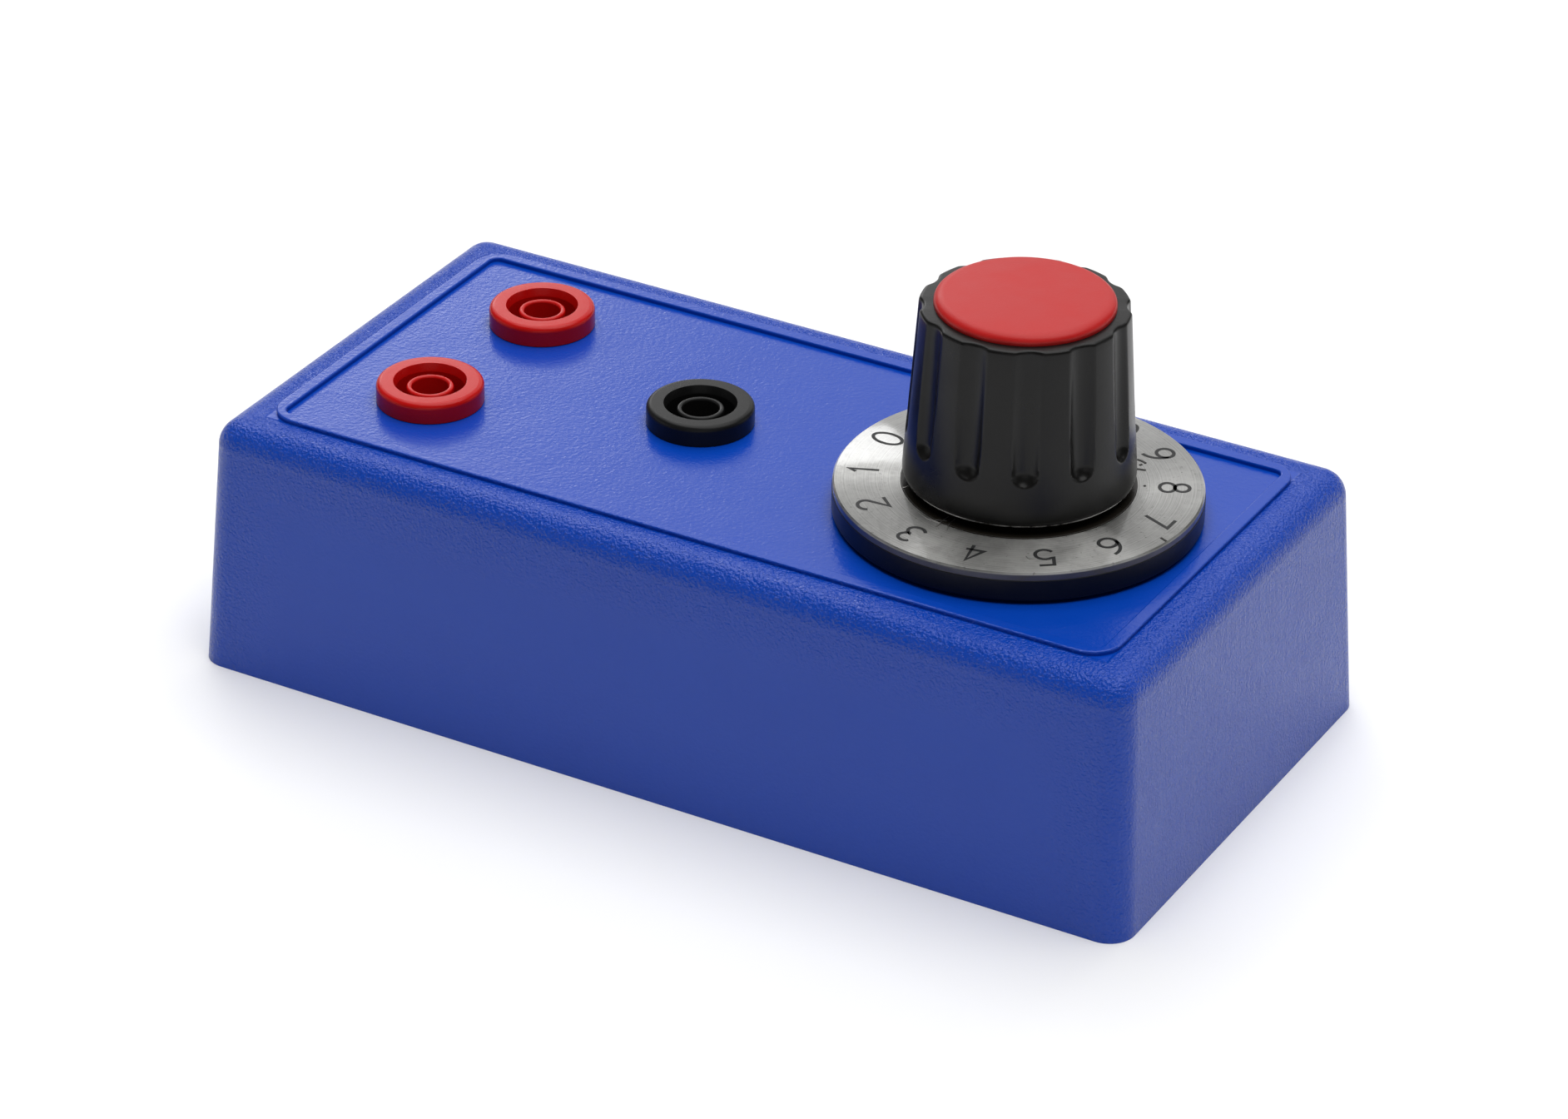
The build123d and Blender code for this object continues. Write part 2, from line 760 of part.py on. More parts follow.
# Wiper: a spring arm that slides on the collector, and a brush that slides on the winding
track_radius = (winding_inner_radius + winding_outer_radius) / 2
with BuildPart() as wiper_arm:
    with BuildSketch(knob_level(arm_front, wiper_angle)):
        Circle(wiper_ring_radius)
        with Locations((track_radius / 2, 0)):
            Rectangle(track_radius, wiper_arm_width)
        with Locations((track_radius, 0)):
            Circle(wiper_arm_width / 2)
        Circle(hub_radius + hub_gap, mode=Mode.SUBTRACT)
    extrude(amount=-wiper_arm_thickness)

wiper_arm.part.label = "wiper_arm"
export_step(wiper_arm.part, "parts/wiper_arm.step")

with BuildPart() as wiper_brush:
    with BuildSketch(knob_level(arm_front, wiper_angle)):
        with Locations((track_radius, 0)):
            Rectangle(brush_length, brush_width)
    extrude(amount=winding_rear - wiper_slide_gap - arm_front)

wiper_brush.part.label = "wiper_brush"
export_step(wiper_brush.part, "parts/wiper_brush.step")

with BuildPart() as wiper_hub:
    with BuildSketch(knob_level(hub_rear)):
        Circle(hub_flange_radius)
    extrude(amount=hub_flange_height)
    with BuildSketch(knob_level(arm_rear)):
        Circle(hub_radius)
    extrude(amount=hub_spigot_height)
    with BuildSketch(knob_level(hub_rear)):
        Circle(shaft_radius + collet_gap)
    extrude(amount=hub_flange_height + hub_spigot_height, mode=Mode.SUBTRACT)

wiper_hub.part.label = "wiper_hub"
export_step(wiper_hub.part, "parts/wiper_hub.step")

# Shaft, from the retaining ring below the hub up into the collet
shaft_bottom = ring_rear - shaft_tail
shaft_top = nut_room_top + shaft_in_collet
groove_radius = shaft_radius - ring_groove_depth
with BuildPart() as shaft:
    with BuildSketch(knob_profile):
        with BuildLine():
            Polyline(
                (0, shaft_bottom),
                (shaft_radius, shaft_bottom),
                (shaft_radius, ring_rear - ring_gap),
                (groove_radius, ring_rear - ring_gap),
                (groove_radius, hub_rear + ring_gap),
                (shaft_radius, hub_rear + ring_gap),
                (shaft_radius, shaft_top),
                (0, shaft_top),
                close=True,
            )
        make_face()
    revolve(axis=knob_axis)

shaft.part.label = "shaft"
export_step(shaft.part, "parts/shaft.step")

with BuildPart() as retaining_ring:
    with BuildSketch(knob_level(hub_rear, wiper_angle)):
        Circle(ring_outer_radius)
        Circle(groove_radius + ring_gap, mode=Mode.SUBTRACT)
        with Locations((ring_outer_radius / 2, 0)):
            Rectangle(ring_outer_radius, ring_opening, mode=Mode.SUBTRACT)
    extrude(amount=-ring_thickness)

retaining_ring.part.label = "retaining_ring"
export_step(retaining_ring.part, "parts/retaining_ring.step")

# Hook-up wires: each leaves the eye in its socket's tail level, runs low over the base plate and
# rises straight into the eye of its terminal
tail_level = barrel_bottom - tail_eye_drop
end_eye_x = knob_x - eye_offset * cos(radians(180 - end_terminal_angle))
end_eye_y = knob_y + eye_offset * sin(radians(180 - end_terminal_angle))
wire_ends = {
    "red_back": (end_eye_x, end_eye_y, core_rear),
    "red_front": (end_eye_x, 2 * knob_y - end_eye_y, core_rear),
    "black": (knob_x - eye_offset, knob_y, boss_rear),
}
for colour, (socket_x, socket_y) in socket_places.items():
    eye_x, eye_y, end_level = wire_ends[colour]
    start_x = socket_x - tail_thickness / 2
    bends = [
        (start_x + share * (eye_x - start_x), socket_y + share * (eye_y - socket_y) + aside, level)
        for share, aside, level in wire_bends[colour]
    ]
    route_points = [
        (start_x, socket_y, tail_level),
        *bends,
        (eye_x, eye_y, wire_rise_level),
        (eye_x, eye_y, end_level),
    ]
    with BuildPart() as wire:
        with BuildLine() as route:
            FilletPolyline(*route_points, radius=corner_radii(route_points))
        with BuildSketch(Plane(route.line @ 0, z_dir=route.line % 0)):
            Circle(wire_radius)
        sweep()
    route_length = sum(edge.length for edge in route.edges())
    print("wire", colour, "length", round(route_length, 1), "volume", round(wire.part.volume, 1))

    wire.part.label = f"wire_{colour}"
    export_step(wire.part, f"parts/wire_{colour}.step")
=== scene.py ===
import json
import math

import bmesh
import bpy
from mathutils import Matrix, Vector


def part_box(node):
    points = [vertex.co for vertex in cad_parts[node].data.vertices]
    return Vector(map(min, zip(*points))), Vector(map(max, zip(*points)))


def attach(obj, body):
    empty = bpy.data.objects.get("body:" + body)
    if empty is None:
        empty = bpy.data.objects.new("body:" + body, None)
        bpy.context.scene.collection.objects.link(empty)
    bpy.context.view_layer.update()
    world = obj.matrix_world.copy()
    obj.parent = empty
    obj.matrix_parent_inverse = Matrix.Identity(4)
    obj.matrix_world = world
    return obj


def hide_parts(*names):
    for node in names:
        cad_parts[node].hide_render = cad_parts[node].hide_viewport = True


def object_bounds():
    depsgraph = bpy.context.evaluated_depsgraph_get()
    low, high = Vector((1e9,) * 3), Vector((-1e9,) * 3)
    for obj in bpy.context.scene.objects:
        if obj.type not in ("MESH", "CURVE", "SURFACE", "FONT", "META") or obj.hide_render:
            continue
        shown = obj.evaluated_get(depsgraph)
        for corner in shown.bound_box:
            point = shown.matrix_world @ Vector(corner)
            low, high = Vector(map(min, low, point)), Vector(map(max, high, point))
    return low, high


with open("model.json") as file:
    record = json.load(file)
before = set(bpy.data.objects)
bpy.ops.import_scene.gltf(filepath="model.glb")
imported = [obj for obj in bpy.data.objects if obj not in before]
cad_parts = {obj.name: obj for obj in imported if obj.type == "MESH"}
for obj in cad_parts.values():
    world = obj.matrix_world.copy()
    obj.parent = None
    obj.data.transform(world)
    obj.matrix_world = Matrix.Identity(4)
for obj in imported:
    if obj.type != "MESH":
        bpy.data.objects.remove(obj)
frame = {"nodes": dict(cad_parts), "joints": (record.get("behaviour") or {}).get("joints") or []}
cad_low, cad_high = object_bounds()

# Bench rheostat. Lengths are in millimetres, as in the part's source, and turn into metres where a
# mesh or a node is made. The floor, the lights and the camera's clipping are set in metres. Heights
# and centres are read from the frame's nodes.
MM = 0.001
ROUND_STEPS = 96  # segments of a full turn
FINE_ROUND_STEPS = 192  # the same on the dial, which shows its edge close up
SHARP_ANGLE = math.radians(32)
WELD = 1e-4  # points closer than this are one


def low(node):
    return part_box(node)[0] / MM


def high(node):
    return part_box(node)[1] / MM


def middle(node):
    return (low(node) + high(node)) / 2


# ---------------------------------------------------------------- mesh helpers


def finish_mesh(name, bm, material, body, replaced=()):
    """Turns a bmesh in millimetres into a shaded piece that rides on a body."""
    bmesh.ops.remove_doubles(bm, verts=bm.verts, dist=WELD)
    bmesh.ops.recalc_face_normals(bm, faces=bm.faces)
    bm.normal_update()
    for face in bm.faces:
        face.smooth = True
    for edge in bm.edges:
        edge.smooth = not edge.is_manifold or edge.calc_face_angle(0) < SHARP_ANGLE
    bmesh.ops.scale(bm, vec=(MM, MM, MM), verts=bm.verts)
    mesh = bpy.data.meshes.new(name)
    bm.to_mesh(mesh)
    bm.free()
    piece = bpy.data.objects.new(name, mesh)
    bpy.context.scene.collection.objects.link(piece)
    mesh.materials.append(material)
    weighted = piece.modifiers.new("WeightedNormal", "WEIGHTED_NORMAL")
    weighted.keep_sharp = True
    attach(piece, body)
    if replaced:
        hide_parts(*replaced)


def quarter(count):
    """Angles from 0 to a quarter turn in count steps."""
    return [math.pi / 2 * k / count for k in range(count + 1)]


def span(start, end, count):
    """Numbers from start towards end in count steps, without end."""
    return [start + (end - start) * k / count for k in range(count)]


def rounded(corners, steps):
    """Closed profile through (r, z, radius) corners, with an arc where the radius isn't 0."""
    points = []
    count = len(corners)
    for i, (r, z, radius) in enumerate(corners):
        corner = Vector((r, z))
        if radius == 0:
            points.append(corner)
            continue
        back = (Vector(corners[i - 1][:2]) - corner).normalized()
        ahead = (Vector(corners[(i + 1) % count][:2]) - corner).normalized()
        half = math.acos(max(-1, min(1, back.dot(ahead)))) / 2
        centre = corner + (back + ahead).normalized() * radius / math.sin(half)
        start = corner + back * radius / math.tan(half) - centre
        end = corner + ahead * radius / math.tan(half) - centre
        sweep = start.angle_signed(end)
        for k in range(steps + 1):
            turn = Matrix.Rotation(-sweep * k / steps, 2)
            points.append(centre + turn @ start)
    return points


def ring_of_points(bm, centre, z, radii, phase=0.0):
    """Ring of points about the vertical line through centre, one for each radius, from phase on."""
    turns = [2 * math.pi * k / len(radii) + phase for k in range(len(radii))]
    return [
        bm.verts.new((centre[0] + radius * math.cos(turn), centre[1] + radius * math.sin(turn), z))
        for radius, turn in zip(radii, turns)
    ]


def join_rings(bm, rings):
    """Closes a tube of rings, the last with the first. A ring of one point is a pole."""
    for a, b in zip(rings, rings[1:] + rings[:1]):
        around = max(len(a), len(b))
        for k in range(around):
            corners = [a[k % len(a)], a[(k + 1) % len(a)], b[(k + 1) % len(b)], b[k % len(b)]]
            unique = list(dict.fromkeys(corners))
            if len(unique) > 2:
                bm.faces.new(unique)


def lathe(name, centre, profile, material, body, replaced=(), steps=ROUND_STEPS):
    """Revolves (r, z) points about the vertical line through centre. Points on the axis become poles."""
    bm = bmesh.new()
    rings = [ring_of_points(bm, centre, z, [r] * steps if r > WELD else [0.0]) for r, z in profile]
    join_rings(bm, rings)
    finish_mesh(name, bm, material, body, replaced)


# ---------------------------------------------------------------- materials


MOST_OF_NOISE = (0.3, 0.7)  # nearly all of a noise lies between these


class Surface:
    """A Principled material and a few shorthands for the nodes that feed it."""

    def __init__(self, name, colour, roughness, metallic=0.0, specular=0.4, coat=0.0, coat_roughness=0.1):
        self.material = bpy.data.materials.new(name)
        self.material.use_nodes = True
        self.tree = self.material.node_tree
        self.shader = self.tree.nodes["Principled BSDF"]
        for key, value in (
            ("Base Color", (*colour, 1)),
            ("Roughness", roughness),
            ("Metallic", metallic),
            ("IOR", 1.5),
            ("Specular IOR Level", specular),
            ("Coat Weight", coat),
            ("Coat Roughness", coat_roughness),
        ):
            self.set(key, value)
        self.where = self.node("ShaderNodeTexCoord").outputs["Object"]

    def node(self, kind, **settings):
        made = self.tree.nodes.new(kind)
        for key, value in settings.items():
            setattr(made, key, value)
        return made

    def feed(self, socket, value):
        """Links value if it is a socket, or sets it."""
        if isinstance(value, bpy.types.NodeSocket):
            self.tree.links.new(value, socket)
        else:
            socket.default_value = value

    def set(self, key, value):
        """Feeds one of the shader's own inputs."""
        self.feed(self.shader.inputs[key], value)

    def noise(self, size, detail=2.0, rough=0.5, distortion=0.0, where=None):
        """Noise from 0 to 1 whose blotches are about size millimetres wide."""
        made = self.node("ShaderNodeTexNoise")
        self.feed(made.inputs["Vector"], where or self.where)
        self.feed(made.inputs["Scale"], 1 / (size * MM))
        self.feed(made.inputs["Detail"], detail)
        self.feed(made.inputs["Roughness"], rough)
        self.feed(made.inputs["Distortion"], distortion)
        return made.outputs["Fac"]

    def math(self, operation, a, b=0.0):
        made = self.node("ShaderNodeMath", operation=operation)
        for socket, value in zip(made.inputs, (a, b)):
            self.feed(socket, value)
        return made.outputs[0]

    def remap(self, value, start, end, first=0.0, last=1.0):
        """Smooth step from first, where value is start, to last, where it is end."""
        made = self.node("ShaderNodeMapRange", interpolation_type="SMOOTHSTEP")
        for key, number in (
            ("Value", value), ("From Min", start), ("From Max", end), ("To Min", first), ("To Max", last),
        ):
            self.feed(made.inputs[key], number)
        return made.outputs["Result"]

    def moved(self, location=(0, 0, 0), scale=(1, 1, 1)):
        made = self.node("ShaderNodeMapping")
        self.feed(made.inputs["Vector"], self.where)
        made.inputs["Location"].default_value = location
        made.inputs["Scale"].default_value = scale
        return made.outputs[0]

    def axes(self, centre=(0, 0)):
        """Outputs X, Y and Z of the shaded point, measured from the vertical line through centre."""
        made = self.node("ShaderNodeSeparateXYZ")
        self.feed(made.inputs[0], self.moved(location=(-centre[0] * MM, -centre[1] * MM, 0)))
        return made.outputs

    def blend(self, share, first, second):
        made = self.node("ShaderNodeMix", data_type="RGBA")
        self.feed(made.inputs["Factor"], share)
        for key, colour in (("A", first), ("B", second)):
            linked = isinstance(colour, bpy.types.NodeSocket)
            self.feed(made.inputs[key], colour if linked else (*colour, 1))
        return made.outputs["Result"]

    def bump(self, height, depth, after=None):
        """Bump of a height field whose full range is depth millimetres."""
        made = self.node("ShaderNodeBump")
        self.feed(made.inputs["Height"], height)
        self.feed(made.inputs["Strength"], 1.0)
        self.feed(made.inputs["Distance"], depth * MM)
        if after is not None:
            self.feed(made.inputs["Normal"], after)
        return made.outputs["Normal"]

    def wear(self, colour, lighter, size, rough_low, rough_high):
        """Base colour and roughness that drift softly, as moulded or plated stock does."""
        drift = self.noise(size, detail=4)
        self.set("Base Color", self.blend(drift, colour, lighter))
        self.set("Roughness", self.remap(drift, *MOST_OF_NOISE, rough_low, rough_high))

    def done(self, normal=None):
        if normal is not None:
            self.set("Normal", normal)
        return self.material


# Where the case's grain grows in, as distances below its top or inwards from its end or its outline:
# none at the first, full at the second
GRAIN_NEAR_END = (18, 5)
GRAIN_NEAR_TOP = (14, 5)
GRAIN_ON_END_FACE = (4, 2)
GRAIN_ON_ROUNDING = (6, 3.2)
GRAIN_OFF_PANEL = (7.3, 6.8)
# Strengths, against the grain on the roundings, which has 1
SHARE_NEAR_END = 0.55
SHARE_NEAR_TOP = 0.6
SHARE_ON_END_FACE = 0.5
LEAST_SHARE = 0.03  # on the broad faces
PEEL_SHARE = 0.11  # of the fine orange peel that lies all over the case
FLOW_SHARE = 0.25  # of the flow marks on the end faces
FLOW_SCALE = (1.4, 1.4, 0.22)  # of the space they are drawn in, so that they stand upright
GRAIN_DEPTH = 0.30
WAVE_DEPTH = 0.05
CASE_ROUGHNESS = (0.20, 0.25)


def case_material():
    """Blue moulding: leather grain that is strong on the roundings and fades out on the broad faces."""
    s = Surface("case_blue", (0.001, 0.05, 0.41), 0.25)
    axes = s.axes()
    along, across = s.math("ABSOLUTE", axes["X"]), s.math("ABSOLUTE", axes["Y"])
    top = high("case_shell").z * MM

    def grown(value, edge, distances):
        return s.remap(value, edge - distances[0] * MM, edge - distances[1] * MM)

    def times(value, share):
        return s.math("MULTIPLY", value, share)

    near_end = grown(along, cad_high.x, GRAIN_NEAR_END)
    near_top = grown(axes["Z"], top, GRAIN_NEAR_TOP)
    on_end_face = grown(along, cad_high.x, GRAIN_ON_END_FACE)
    on_rounding = grown(axes["Z"], top, GRAIN_ON_ROUNDING)
    off_panel = s.math(
        "MAXIMUM", grown(along, cad_high.x, GRAIN_OFF_PANEL), grown(across, cad_high.y, GRAIN_OFF_PANEL),
    )
    border = s.math("MAXIMUM", times(near_end, SHARE_NEAR_END), times(near_top, SHARE_NEAR_TOP))
    border = s.math("MAXIMUM", border, times(on_end_face, SHARE_ON_END_FACE))
    amount = times(s.math("MAXIMUM", border, on_rounding), off_panel)
    amount = s.math("MAXIMUM", amount, LEAST_SHARE)
    worms = s.noise(0.36, detail=1.0, distortion=0.4)
    peel = s.noise(0.5, detail=1.0)
    flow = s.noise(1.0, where=s.moved(scale=FLOW_SCALE))
    waves = s.noise(9.0, detail=1.0)
    grain = s.math("ADD", times(worms, amount), times(peel, PEEL_SHARE))
    grain = s.math("ADD", grain, times(flow, times(on_end_face, FLOW_SHARE)))
    s.set("Base Color", s.blend(s.noise(14.0, detail=3), (0.0010, 0.047, 0.395), (0.0016, 0.054, 0.425)))
    s.set("Roughness", s.remap(s.noise(5.0), *MOST_OF_NOISE, *CASE_ROUGHNESS))
    return s.done(s.bump(grain, GRAIN_DEPTH, after=s.bump(waves, WAVE_DEPTH)))


MOULDED_DRIFT = 6.0  # width of the blotches in which colour and shine drift
METAL_DRIFT = 3.0
MARKS_SIZE = 3.5  # of the faint flow marks
MARKS_SHARE = 2.0  # against the grain's 1
METAL_BUMP = 0.004


def moulded(name, colour, lighter, rough_low, rough_high, grain=0.3, depth=0.006, specular=0.4):
    """Smooth moulded plastic with a fine satin grain and faint flow marks."""
    s = Surface(name, colour, rough_low, specular=specular)
    s.wear(colour, lighter, MOULDED_DRIFT, rough_low, rough_high)
    flow_marks = s.math("MULTIPLY", s.noise(MARKS_SIZE, detail=1), MARKS_SHARE)
    height = s.math("ADD", s.noise(grain), flow_marks)
    return s.done(s.bump(height, depth))


def metal(name, colour, lighter, rough_low, rough_high, size=0.5):
    """Plated or turned stock, with a bump of blotches that are size millimetres wide."""
    s = Surface(name, colour, rough_low, metallic=1.0)
    s.wear(colour, lighter, METAL_DRIFT, rough_low, rough_high)
    return s.done(s.bump(s.noise(size, detail=3), METAL_BUMP))


CROWN_RADIUS = 150.0  # of the dial's slightly crowned plate
FACE_EDGE = (0.32, 0.2)  # below the dial's top: where its darker brown edge ends and its spun face begins
SPUN_PITCH = 0.18  # width of the spun rings
SPUN_DEPTH = 0.018
COAT_DEPTH = 0.004


def spun_metal(name, centre):
    """Dial plate: spun rings that draw reflections out along the radius, cloudy wear and a darker brown
    edge.
    """
    s = Surface(name, (0.25, 0.25, 0.25), 0.4, metallic=1.0, coat=1.0, coat_roughness=0.05)
    s.set("Anisotropic", 1.0)
    s.set("Anisotropic Rotation", 0.25)
    s.set("Tangent", s.node("ShaderNodeTangent", direction_type="RADIAL", axis="Z").outputs[0])
    axes = s.axes(centre)
    squared = s.math("ADD", s.math("POWER", axes["X"], 2.0), s.math("POWER", axes["Y"], 2.0))
    rings = s.node("ShaderNodeTexNoise", noise_dimensions="1D")
    s.feed(rings.inputs["W"], s.math("MULTIPLY", s.math("SQRT", squared), 1 / (SPUN_PITCH * MM)))
    s.feed(rings.inputs["Scale"], 1.0)
    s.feed(rings.inputs["Detail"], 4.0)
    ring_lines = rings.outputs["Fac"]
    clouds = s.noise(4.5, detail=5, rough=0.6, distortion=0.6)
    smears = s.noise(1.1, detail=4, rough=0.6, distortion=1.5)
    specks = s.noise(0.7, detail=3, rough=0.7)
    worn = s.blend(s.remap(clouds, *MOST_OF_NOISE), (0.24, 0.24, 0.23), (0.38, 0.378, 0.365))
    worn = s.blend(s.remap(ring_lines, 0.35, 0.65, 0.0, 0.35), worn, (0.52, 0.515, 0.50))
    worn = s.blend(s.remap(specks, 0.62, 0.72, 0.0, 0.6), worn, (0.10, 0.098, 0.09))
    face_top = high("dial_ring").z
    on_face = s.remap(axes["Z"], (face_top - FACE_EDGE[0]) * MM, (face_top - FACE_EDGE[1]) * MM)
    s.set("Base Color", s.blend(on_face, (0.13, 0.122, 0.105), worn))
    patches = s.math("MULTIPLY", s.math("ADD", clouds, smears), 0.5)
    s.set("Roughness", s.remap(patches, 0.38, 0.62, 0.30, 0.43))
    cloudy = s.math("ADD", clouds, s.math("MULTIPLY", smears, 0.3))
    height = s.math("ADD", s.math("MULTIPLY", ring_lines, 0.5), cloudy)
    crown = s.bump(s.math("MULTIPLY", squared, -1 / (2 * CROWN_RADIUS * MM)), 1 / MM)
    s.set("Coat Normal", s.bump(height, COAT_DEPTH, after=crown))
    return s.done(s.bump(height, SPUN_DEPTH, after=crown))


GLINT_MIDDLE = math.radians(299)  # direction between the two arcs of painted highlight, from +X
# Distances from the knob's axis along that direction: no painted highlight at the first, full at the second
GLINT_NEAR_END = (13.6, 12.0)
GLINT_FAR_END = (7.2, 9.0)
RUB_SHARE = 0.45  # of the rubbed patches, against the painted highlight of the arcs, which has 1


def scuffed_plastic(name, centre):
    """Moulding line of black plastic, painted pale along two arcs as a highlight, and rubbed pale here and
    there between them.
    """
    s = Surface(name, (0.5, 0.5, 0.48), 0.35)
    axes = s.axes(centre)
    front = s.math(
        "ADD",
        s.math("MULTIPLY", axes["X"], math.cos(GLINT_MIDDLE)),
        s.math("MULTIPLY", axes["Y"], math.sin(GLINT_MIDDLE)),
    )
    # Painted highlight: the line turns pale along two arcs, one on each side of the direction above
    painted_glint_arcs = s.math("MULTIPLY", *[
        s.remap(front, start * MM, end * MM) for start, end in (GLINT_NEAR_END, GLINT_FAR_END)
    ])
    rubbed = s.remap(s.noise(1.3, detail=4, rough=0.7), 0.40, 0.62)
    share = s.math("MAXIMUM", painted_glint_arcs, s.math("MULTIPLY", rubbed, RUB_SHARE))
    s.set("Base Color", s.blend(share, (0.012, 0.010, 0.008), (0.92, 0.91, 0.88)))
    s.set("Roughness", s.remap(rubbed, 0, 1, 0.5, 0.3))
    return s.done(s.bump(s.noise(0.5, detail=3), 0.02))


WINDING_TURNS = 240
WIRE_DEPTH = 0.1


def winding_material(name, centre):
    """Turns of resistance wire: fine ridges round the track."""
    s = Surface(name, (0.32, 0.27, 0.22), 0.4, metallic=1.0)
    axes = s.axes(centre)
    angle = s.math("ARCTAN2", axes["Y"], axes["X"])
    ridges = s.math("SINE", s.math("MULTIPLY", angle, WINDING_TURNS))
    s.wear((0.28, 0.23, 0.19), (0.40, 0.35, 0.30), 4.0, 0.32, 0.5)
    return s.done(s.bump(ridges, WIRE_DEPTH))


def floor_material():
    s = Surface("floor_white", (0.75, 0.75, 0.75), 0.7)
    s.set("Base Color", s.blend(s.noise(220.0), (0.95, 0.95, 0.953), (0.97, 0.97, 0.97)))
    return s.done()


# ---------------------------------------------------------------- looks of the CAD nodes

KNOB_CENTRE = middle("dial_ring")

blue = case_material()
red_socket = moulded("socket_red", (0.47, 0.003, 0.003), (0.53, 0.005, 0.004), 0.20, 0.28, specular=0.28)
black_socket = moulded(
    "socket_black", (0.006, 0.006, 0.006), (0.010, 0.010, 0.010), 0.26, 0.36, specular=0.22,
)
knob_black = moulded(
    "knob_black", (0.003, 0.003, 0.003), (0.006, 0.0055, 0.005), 0.27, 0.34,
    grain=0.40, depth=0.008, specular=0.28,
)
skirt_black = moulded(
    "skirt_black", (0.0045, 0.0045, 0.005), (0.008, 0.008, 0.009), 0.30, 0.40, specular=0.25,
)
# Black of the ring round the grip's foot, which also paints the shade under that foot
ring_black_and_painted_shade = moulded("ring_black_and_painted_shade", (0.009, 0.008, 0.006), (0.016, 0.013, 0.010), 0.22, 0.34, specular=0.3)
plate_black = moulded(
    "base_black", (0.020, 0.020, 0.021), (0.032, 0.032, 0.033), 0.42, 0.55, grain=0.6, depth=0.03,
)
cap_red = moulded("cap_red", (0.44, 0.006, 0.006), (0.49, 0.009, 0.008), 0.36, 0.46, depth=0.012)
ink = moulded("dial_ink", (0.012, 0.012, 0.013), (0.035, 0.035, 0.036), 0.45, 0.6, specular=0.25)
ceramic = moulded(
    "ceramic_white", (0.58, 0.54, 0.46), (0.66, 0.62, 0.54), 0.6, 0.75, grain=0.25, depth=0.02,
)
insulator = moulded("hub_insulator", (0.14, 0.06, 0.03), (0.20, 0.09, 0.05), 0.4, 0.5)
red_wire = moulded("wire_red", (0.34, 0.008, 0.008), (0.42, 0.014, 0.012), 0.42, 0.55)
black_wire = moulded("wire_black", (0.012, 0.012, 0.012), (0.020, 0.020, 0.020), 0.42, 0.55)
dial_metal = spun_metal("dial_metal", KNOB_CENTRE)
winding = winding_material("winding_wire", middle("rheostat_base"))
screw_steel = metal("screw_steel", (0.42, 0.42, 0.43), (0.55, 0.55, 0.55), 0.25, 0.40)
shaft_steel = metal("shaft_steel", (0.48, 0.48, 0.48), (0.58, 0.58, 0.58), 0.18, 0.30, size=0.2)
graphite = metal("brush_graphite", (0.05, 0.04, 0.035), (0.09, 0.07, 0.06), 0.45, 0.6)
bronze = metal("spring_bronze", (0.50, 0.32, 0.14), (0.60, 0.40, 0.19), 0.22, 0.35)
brass = metal("contact_brass", (0.55, 0.47, 0.30), (0.66, 0.58, 0.40), 0.20, 0.34)
nickel = metal("nut_metal", (0.50, 0.49, 0.46), (0.60, 0.59, 0.56), 0.22, 0.36)

for material, nodes in (
    (blue, ("case_shell",)),
    (plate_black, ("base_plate",)),
    (screw_steel, ("base_screws",)),
    (red_socket, ("socket_body_red_back", "socket_body_red_front")),
    (black_socket, ("socket_body_black",)),
    (knob_black, ("knob_grip",)),
    (skirt_black, ("dial_skirt",)),
    (dial_metal, ("dial_ring",)),
    (cap_red, ("knob_cap",)),
    (winding, ("resistance_winding",)),
    (insulator, ("wiper_hub",)),
    (graphite, ("wiper_brush",)),
    (bronze, ("wiper_arm",)),
    (brass, (
        "socket_contact_red_back", "socket_contact_red_front", "socket_contact_black",
        "knob_collet", "collet_nut",
    )),
    (nickel, (
        "socket_nut_red_back", "socket_nut_red_front", "socket_nut_black",
        "threaded_bush", "lock_washer", "mounting_nut",
        "end_terminal_back", "end_terminal_front", "wiper_collector",
    )),
    (shaft_steel, ("shaft", "retaining_ring")),
    (ceramic, ("rheostat_base", "winding_core")),
    (red_wire, ("wire_red_back", "wire_red_front")),
    (black_wire, ("wire_black",)),
):
    for node in nodes:
        shown = frame["nodes"][node].data
        shown.materials.clear()
        shown.materials.append(material)
        for polygon in shown.polygons:
            polygon.use_smooth = True

# ---------------------------------------------------------------- sockets

FLANGE_RADIUS = 7.0
FLANGE_ROUNDING = 0.75
BARREL_RADIUS = 6.0
BARREL_LENGTH = 21.0  # from the socket's foot to the panel
GROOVE_RADIUS = 4.45  # outer radius of the groove that takes a plug's shroud
MOUTH_RADIUS = 4.75  # to which the groove opens
POST_RADIUS = 3.0
TIP_RADIUS = 3.08  # of the post's slightly wider tip
TIP_ROUNDING = 0.32
GROOVE_ROUNDING = 0.1  # where the groove's wall turns into its mouth
MOUTH_ROUNDING = 0.06
FLANGE_FOOT_ROUNDING = 0.15
POST_HOLE = 2.36
CONTACT_SEAT = 2.52  # radius of the hole below the post's tip, round the contact
# Depths below the flange's top
POST_DROP = 0.7
MOUTH_DROP = 1.1
TIP_DROP, WAIST_DROP = 2.2, 2.4  # between them the tip narrows to the post
CONTACT_DROP = 4.7
GROOVE_DROP = 19.0

